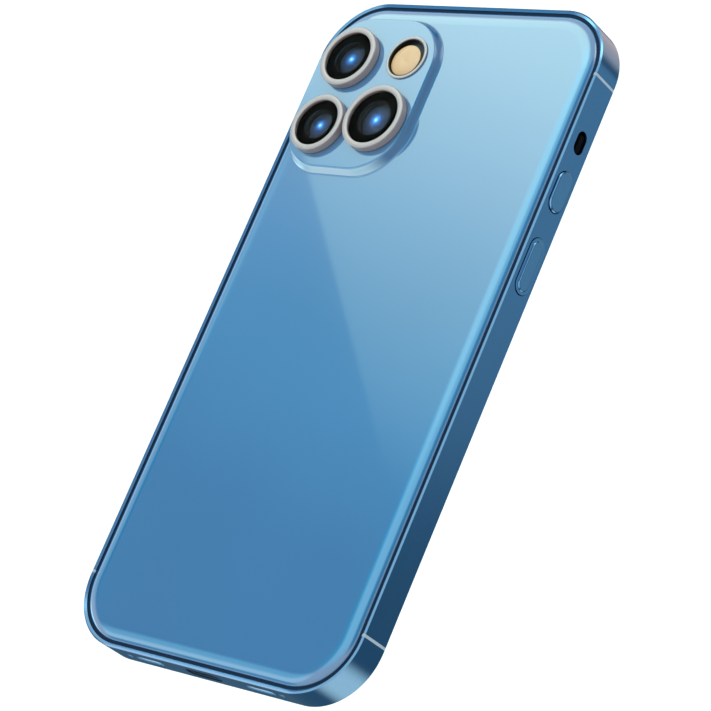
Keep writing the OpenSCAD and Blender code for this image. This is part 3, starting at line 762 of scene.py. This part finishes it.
def slotTool(node, grow, facing, depth, more=0.0):
    # bar through the band, the shape of the node's outer end
    low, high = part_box(node)
    middle = (low + high) / 2
    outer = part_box("band_top")[1]
    if facing == "-Y":
        length, width = high.x - low.x + 2 * grow, high.z - low.z + 2 * grow
        place = (middle.x, -outer.y + depth, middle.z)
    else:
        length, width = high.y - low.y - 2 * more + 2 * grow, high.z - low.z + 2 * grow
        place = ((1 if facing == "+X" else -1) * (outer.x - depth), middle.y, middle.z)
    return pillBar("slotTool", place, length, width, depth + bandSet["cutProud"], facing)


def makeBand():
    s = bandSet
    breakLow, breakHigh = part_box("band_bottom")[1].y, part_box("band_right")[0].y
    topLow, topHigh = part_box("band_right")[1].y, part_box("band_top")[0].y
    hoop = makeBandHoop()
    cuts = {
        "bandTop": [((0, topHigh, 0), (0, 1, 0))],
        "bandBottom": [((0, breakLow, 0), (0, -1, 0))],
        "bandRight": [((0, topLow, 0), (0, -1, 0)), ((0, breakHigh, 0), (0, 1, 0)),
                      ((0, 0, 0), (1, 0, 0))],
        "bandLeft": [((0, topLow, 0), (0, -1, 0)), ((0, breakHigh, 0), (0, 1, 0)),
                     ((0, 0, 0), (-1, 0, 0))],
    }
    parts = {}
    for name, planes in cuts.items():
        parts[name] = twin(hoop, name)
        for place, normal in planes:
            cutAt(parts[name], place, normal)
    plugs = []
    for start, end in ((breakLow, breakHigh), (topLow, topHigh)):
        plug = twin(hoop, "antennaBreaks")
        cutAt(plug, (0, start, 0), (0, 1, 0))
        cutAt(plug, (0, end, 0), (0, -1, 0))
        plugs.append(plug)
    bpy.data.objects.remove(hoop)
    pickObject(plugs[0])
    plugs[1].select_set(True)
    bpy.ops.object.join()

    full = s["cutDepth"]
    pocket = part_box("volume_up")[0].x
    for node, facing in (("volume_up", "+X"), ("volume_down", "+X"), ("power_button", "-X")):
        side = parts["bandRight" if facing == "+X" else "bandLeft"]
        combine(side, slotTool(node, s["buttonGap"], facing, full, s["flangePocket"]), "DIFFERENCE")
        inner = slotTool(node, s["buttonGap"], facing, full)
        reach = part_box("band_top")[1].x - pocket - s["flangePocket"]
        inner.location.x -= (reach + s["cutProud"]) * (1 if facing == "+X" else -1)
        bakePlace(inner)
        combine(side, inner, "DIFFERENCE")
    return parts, plugs[0]


def slotAt(piece, node, length, width, facing, depth):
    low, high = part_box(node)
    middle = (low + high) / 2
    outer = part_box("band_top")[1]
    zMiddle = (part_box("band_right")[0].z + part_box("band_right")[1].z) / 2
    place = (middle.x, -outer.y + depth, zMiddle) if facing == "-Y" else (
        (1 if facing == "+X" else -1) * (outer.x - depth), middle.y, zMiddle)
    bar = pillBar("slotTool", place, length, width, depth + bandSet["cutProud"], facing)
    combine(piece, bar, "DIFFERENCE")


def finishBand():
    s = bandSet
    parts, plugs = makeBand()
    slotAt(parts["bandRight"], "ring_switch", switchSlot["length"], switchSlot["width"], "+X", s["cutDepth"])
    trayLow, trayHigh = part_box("card_tray")
    slotAt(parts["bandLeft"], "card_tray", trayHigh.y - trayLow.y + 2 * s["trayGap"],
           trayHigh.z - trayLow.z + 2 * s["trayGap"], "-X", s["cutDepth"])
    for node in ("port_shell", "grille_left", "grille_right"):
        low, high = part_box(node)
        slotAt(parts["bandBottom"], node, high.x - low.x, high.z - low.z, "-Y", s["cutDepth"])
    low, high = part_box("end_screws")
    wide = high.z - low.z
    middle = (low + high) / 2
    for x in (low.x + wide / 2, high.x - wide / 2):
        deselectAll()
        bpy.ops.mesh.primitive_cylinder_add(vertices=48, radius=wide / 2, depth=s["cutDepth"],
                                            location=(x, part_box("band_bottom")[0].y, middle.z),
                                            rotation=(math.pi / 2, 0, 0))
        combine(parts["bandBottom"], bpy.context.object, "DIFFERENCE")
    for node, name in (("band_top", "bandTop"), ("band_bottom", "bandBottom"),
                       ("band_left", "bandLeft"), ("band_right", "bandRight")):
        fixNormals(parts[name])
        smoothShade(parts[name], 30)
        finishPiece(parts[name], bandMetal, "phone", node, slot="band_blue")
    fixNormals(plugs)
    smoothShade(plugs, 30)
    finishPiece(plugs, antennaPlastic, "phone", "antenna_breaks", slot="antenna_plastic")


switchSlot = {"length": 4.8 * mm, "width": 3.0 * mm}
bandMetal = grainFinish("blueMetal", bandSet["colour"], bandSet["rough"], 1.0, grain=2200, vary=0.03,
                        bump=0.015, roughVary=0.05)
antennaPlastic = grainFinish("antennaPlastic", bandSet["plastic"], 0.42, grain=1500, vary=0.05, bump=0.05)
finishBand()
paint(grainFinish("sealRubber", (0.002, 0.012, 0.035), 0.6, grain=1800, vary=0.1, bump=0.05,
                  **{"Specular IOR Level": 0.15}), "rear_seal")
print("side band ready")


cameraPieces = {
    "ringColour": (0.42, 0.352, 0.333),
    "ringSoft": 0.22 * mm,
    "ringFace": 1.25 * mm,
    "shankOut": 1.0 * mm,    # the shank's outer and inner wall, in from the ring's edge
    "shankIn": 1.8 * mm,
    "ledgeDrop": 0.1 * mm,   # each ledge of the barrel
    "boreDepth": 1.3 * mm,
    "barrelSoft": 0.12 * mm,
    # lens colour from rim to middle: dark navy coating, then a painted blue glint with a cyan core
    "lensGlintStops": [(0.0, (0.004, 0.006, 0.012)), (0.22, (0.012, 0.022, 0.05)), (0.5, (0.014, 0.035, 0.09)),
                  (0.68, (0.02, 0.10, 0.34)), (0.84, (0.05, 0.32, 0.85)), (0.93, (0.35, 0.85, 1.0))],
    "steps": 4,
}


def makeCamera(letter):
    s = cameraPieces
    low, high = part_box("lens_ring_" + letter)
    coverLow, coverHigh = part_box("lens_cover_" + letter)
    barrelLow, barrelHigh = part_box("lens_barrel_" + letter)
    glassLow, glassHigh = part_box("lens_glass_" + letter)
    centre = (low + high) / 2
    radius = (high.x - low.x) / 2
    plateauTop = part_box("rear_glass")[1].z

    ringMetal = ringFinish("champagneMetal." + letter, s["ringColour"], 0.3, 0.45, centre, 0.09 * mm,
                           0.05, 0.12)
    ring = turnedRing("lensRing." + letter, centre, radius - s["ringFace"], radius, plateauTop, high.z,
                      s["ringSoft"])
    shank = turnedRing("shank", centre, radius - s["shankIn"], radius - s["shankOut"], low.z,
                       coverLow.z - 0.2 * mm, 0.05 * mm)
    pickObject(ring)
    shank.select_set(True)
    bpy.ops.object.join()
    finishPiece(ring, ringMetal, "phone", "lens_ring_" + letter, slot="ring_metal")

    cover = turnedDisc("coverGlass." + letter, centre, (coverHigh.x - coverLow.x) / 2, coverLow.z,
                       coverHigh.z, 0.06 * mm)
    finishPiece(cover, clearGlass, "phone", "lens_cover_" + letter, slot="cover_glass")

    # barrel front: ledges stepping down to the glass
    barrelRadius = (barrelHigh.x - barrelLow.x) / 2
    opening = (glassHigh.x - glassLow.x) / 2
    barrel = turnedDisc("barrel." + letter, centre, barrelRadius, barrelLow.z, barrelHigh.z,
                        s["barrelSoft"])
    openMesh(barrel)
    pickFaces(barrel, lambda f: f.normal.z > 0.9 and f.center.z > barrelHigh.z - 1e-5)
    room = barrelRadius - s["barrelSoft"] - opening
    for i in range(s["steps"]):
        bpy.ops.mesh.inset(thickness=room / s["steps"], depth=0)
        bpy.ops.mesh.extrude_region_move(TRANSFORM_OT_translate={"value": (0, 0, -s["ledgeDrop"])})
    bpy.ops.mesh.extrude_region_move(TRANSFORM_OT_translate={"value": (0, 0, -s["boreDepth"])})
    closeMesh()
    fixNormals(barrel)
    smoothShade(barrel, 30)
    blackBarrel = ringFinish("blackBarrel." + letter, (0.0015, 0.002, 0.0035), 0.5, 0.0, centre, 0.12 * mm,
                             0.2, 0.3, **{"Specular IOR Level": 0.04})
    finishPiece(barrel, blackBarrel, "focus_" + letter, "lens_barrel_" + letter, slot="barrel")

    front = turnedDome("frontLens." + letter, centre, opening - 0.01 * mm, glassHigh.z - 1.2 * mm,
                       glassHigh.z - 0.5 * mm, 0.5 * mm)
    finishPiece(front, paintedGlintFinish("glintPaintedLens." + letter, centre, opening, s["lensGlintStops"]),
                "focus_" + letter, "lens_glass_" + letter, slot="lens_glass")


clearGlass = grainFinish("clearGlass", (0.96, 0.98, 1.0), 0.02, grain=600, vary=0.01, bump=0, roughVary=0.01,
                         **{"Transmission Weight": 1.0, "IOR": 1.08})
for letter in "abc":
    makeCamera(letter)
paint(grainFinish("blackInk", (0.0015, 0.0015, 0.002), 0.55, grain=1200, vary=0.1, bump=0.01,
                  **{"Specular IOR Level": 0.1}), "lens_masks")
print("cameras ready")


flashSet = {
    "rimColour": (0.43, 0.37, 0.35),
    "amber": (0.6, 0.37, 0.165),
    "ribPitch": 0.32 * mm,
}


def makeFlash():
    s = flashSet
    low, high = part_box("flash_ring")
    centre = (low + high) / 2
    radius = (high.x - low.x) / 2
    rim = turnedRing("flashRim", centre, radius - 0.6 * mm, radius, low.z, high.z, 0.13 * mm)
    finishPiece(rim, ringFinish("flashSilver", s["rimColour"], 0.3, 0.45, centre, 0.08 * mm, 0.04, 0.1),
                "phone", "flash_ring", slot="flash_rim")
    smoothCopy("flash_cup", "flashCup", grainFinish("blackCup", (0.004, 0.004, 0.005), 0.4, grain=1500,
                                                    vary=0.2, bump=0.05), "phone", "black_part")
    a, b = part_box("flash_diffuser")
    middle = (a + b) / 2
    window = turnedDome("flashWindow", middle, (b.x - a.x) / 2, a.z, b.z - 0.4 * mm, 0.4 * mm)
    amber = ringFinish("amberWindow", s["amber"], 0.3, 0.0, middle, s["ribPitch"], 0.05, 0.35, 0.00004,
                       **{"Subsurface Weight": 0.3, "Subsurface Radius": (0.0012, 0.0009, 0.0005),
                          "Subsurface Scale": 1.0, "Coat Weight": 0.5, "Coat Roughness": 0.1})
    finishPiece(window, amber, "phone", "flash_diffuser", slot="amber")


makeFlash()
print("flash ready")


buttonSet = {
    "colour": (0.2, 0.43, 0.66),
    "rough": 0.14,
    "soft": 0.34 * mm,       # rounded shoulder of the cap
    "collar": 0.62 * mm,     # flat collar round the raised pill
    "collarDrop": 0.26 * mm,
    "flangeMore": 0.6 * mm,
    "flangeThick": 0.5 * mm,
    "flangeTrim": 1.8 * mm,  # how much narrower than the cap the flange is
}


def makeButton(node, name, body, side, shape):
    s = buttonSet
    low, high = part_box(node)
    inner, outer = (low.x, high.x) if side > 0 else (high.x, low.x)
    facing = "+X" if side > 0 else "-X"
    # the cap starts at the flange's inner face, so a pressed button runs into the midframe by its travel
    root = (inner, (low.y + high.y) / 2, (low.z + high.z) / 2)
    length, width = high.y - low.y, high.z - low.z
    depth = abs(outer - inner)

    def ringAt(x):
        return lambda a, b: abs(a.x - x) < 1e-6 and abs(b.x - x) < 1e-6

    if shape == "stepped":
        cap = pillBar(name, root, length - 2 * s["flangeMore"], width, depth - s["collarDrop"], facing)
        openMesh(cap)
        pickFaces(cap, lambda f: f.normal.x * side > 0.99)
        bpy.ops.mesh.inset(thickness=s["collar"], depth=0)
        bpy.ops.mesh.extrude_region_move(TRANSFORM_OT_translate={"value": (side * s["collarDrop"], 0, 0)})
        pickEdges(cap, ringAt(outer))
        bpy.ops.mesh.bevel(offset=s["collarDrop"] * 0.95, segments=5, affect="EDGES")
        closeMesh()
    else:
        cap = pillBar(name, root, length - 2 * s["flangeMore"], width, depth, facing)
        pickEdges(cap, ringAt(outer))
        bpy.ops.mesh.bevel(offset=s["soft"], segments=6, affect="EDGES")
        closeMesh()
    flange = pillBar("flange", root, length, width - s["flangeTrim"], s["flangeThick"], facing)
    combine(cap, flange, "UNION")
    smoothShade(cap, 30)
    finishPiece(cap, buttonMetal, body, node, slot="button_blue")


buttonMetal = grainFinish("buttonMetal", buttonSet["colour"], buttonSet["rough"], 1.0, grain=2200, vary=0.03,
                          bump=0.015, roughVary=0.05)
makeButton("volume_up", "volumeUp", "volume_up", 1, "crowned")
makeButton("volume_down", "volumeDown", "volume_down", 1, "stepped")
makeButton("power_button", "powerButton", "power_button", -1, "crowned")
# painted shade: the ring switch is coloured near-black so its slot reads as a dark shaded hole
switchShadeBlack = grainFinish("switchShadeBlack", (0.003, 0.003, 0.004), 0.6, grain=1600, vary=0.2, bump=0.05,
                          **{"Specular IOR Level": 0.1})
smoothCopy("ring_switch", "ringSwitch", switchShadeBlack, "ring_switch", "button_blue")
print("buttons ready")


portSteel = grainFinish("portSteel", (0.035, 0.038, 0.045), 0.5, 0.3, grain=900, stretch=(1, 0.1, 1),
                        vary=0.08, bump=0.05)
smoothCopy("port_shell", "portShell", portSteel, "phone", "port_steel")
paint(grainFinish("tonguePlastic", (0.012, 0.013, 0.016), 0.5, grain=1500, vary=0.1, bump=0.06),
      "port_tongue")
paint(grainFinish("contactGold", (0.86, 0.62, 0.28), 0.22, 1.0, grain=1500, vary=0.05, bump=0.02),
      "port_contacts")
grilleSilver = grainFinish("grilleSilver", (0.78, 0.8, 0.83), 0.35, 0.25, grain=1400, stretch=(0.2, 1, 1),
                           vary=0.05, bump=0.04)
smoothCopy("grille_left", "grilleLeft", grilleSilver, "phone", "end_silver")
smoothCopy("grille_right", "grilleRight", grilleSilver, "phone", "end_silver")
smoothCopy("end_screws", "endScrews", grainFinish("screwSteel", (0.74, 0.76, 0.78), 0.3, 0.35, grain=1200,
                                                  vary=0.06, bump=0.05), "phone", "end_silver")
print("bottom end ready")


frontGlass = grainFinish("frontGlass", (0.9, 0.93, 0.96), 0.02, grain=500, vary=0.01, bump=0, roughVary=0.02,
                         **{"Transmission Weight": 1.0, "IOR": 1.5})
smoothCopy("display_glass", "frontGlassPlate", frontGlass, "phone", "display_glass")
paint(grainFinish("displayPanel", (0.006, 0.007, 0.010), 0.12, grain=4000, vary=0.35, bump=0.01),
      "display_panel")
paint(grainFinish("blackBorder", (0.002, 0.002, 0.003), 0.3, grain=1200, vary=0.2, bump=0.02),
      "display_frame")
print("display side ready")


insideFinishes = {
    # finish name: colour, roughness, metal, grain, variation, relief, and the nodes it goes on
    "steelMesh": ((0.16, 0.165, 0.175), 0.4, 1.0, 5200, 0.4, 0.4, ["earpiece_mesh"]),
    "blackMoulding": ((0.012, 0.012, 0.014), 0.5, 0.0, 1400, 0.2, 0.1,
                      ["earpiece", "speaker_box", "bottom_mic", "side_switches"]),
    "frontCameraBlack": ((0.008, 0.01, 0.02), 0.12, 0.0, 1600, 0.3, 0.02, ["front_camera"]),
    "milledAlloy": ((0.5, 0.53, 0.56), 0.38, 1.0, 700, 0.08, 0.15, ["midframe"]),
    "moduleCan": ((0.28, 0.29, 0.31), 0.35, 1.0, 900, 0.1, 0.1, ["camera_modules"]),
    "sheetSteel": ((0.6, 0.61, 0.63), 0.3, 1.0, 800, 0.07, 0.1,
                   ["camera_bracket", "shield_can", "haptic_case", "card_reader", "board_screws"]),
    "magnetNickel": ((0.5, 0.5, 0.5), 0.22, 1.0, 1100, 0.06, 0.05,
                     ["speaker_magnet", "haptic_mass", "coil_magnets"]),
    "diaphragmFilm": ((0.09, 0.09, 0.1), 0.35, 0.0, 1500, 0.15, 0.1, ["speaker_diaphragm"]),
    "batteryPouch": ((0.018, 0.018, 0.02), 0.42, 0.0, 260, 0.25, 0.3, ["battery"]),
    "boardGreen": ((0.01, 0.07, 0.04), 0.35, 0.0, 900, 0.5, 0.2, ["logic_board"]),
    "chipResin": ((0.02, 0.02, 0.022), 0.48, 0.0, 1900, 0.2, 0.15, ["board_chips"]),
    "simPlastic": ((0.78, 0.78, 0.75), 0.45, 0.0, 1300, 0.05, 0.05, ["sim_card"]),
    "ledCell": ((0.9, 0.72, 0.2), 0.4, 0.0, 1500, 0.15, 0.1, ["flash_leds"]),
}
for name, (colour, rough, metal, grain, vary, bump, members) in insideFinishes.items():
    paint(grainFinish(name, colour, rough, metal, grain=grain, vary=vary, bump=bump), *members)
coilLow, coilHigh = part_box("charge_coil")
paint(ringFinish("copperWinding", (0.72, 0.33, 0.16), 0.3, 1.0, (coilLow + coilHigh) / 2, 0.5 * mm, 0.25, 0.6,
                 0.0001), "charge_coil")
smoothCopy("card_tray", "cardTray", bandMetal, "card_tray", "band_blue")
print("inside ready")
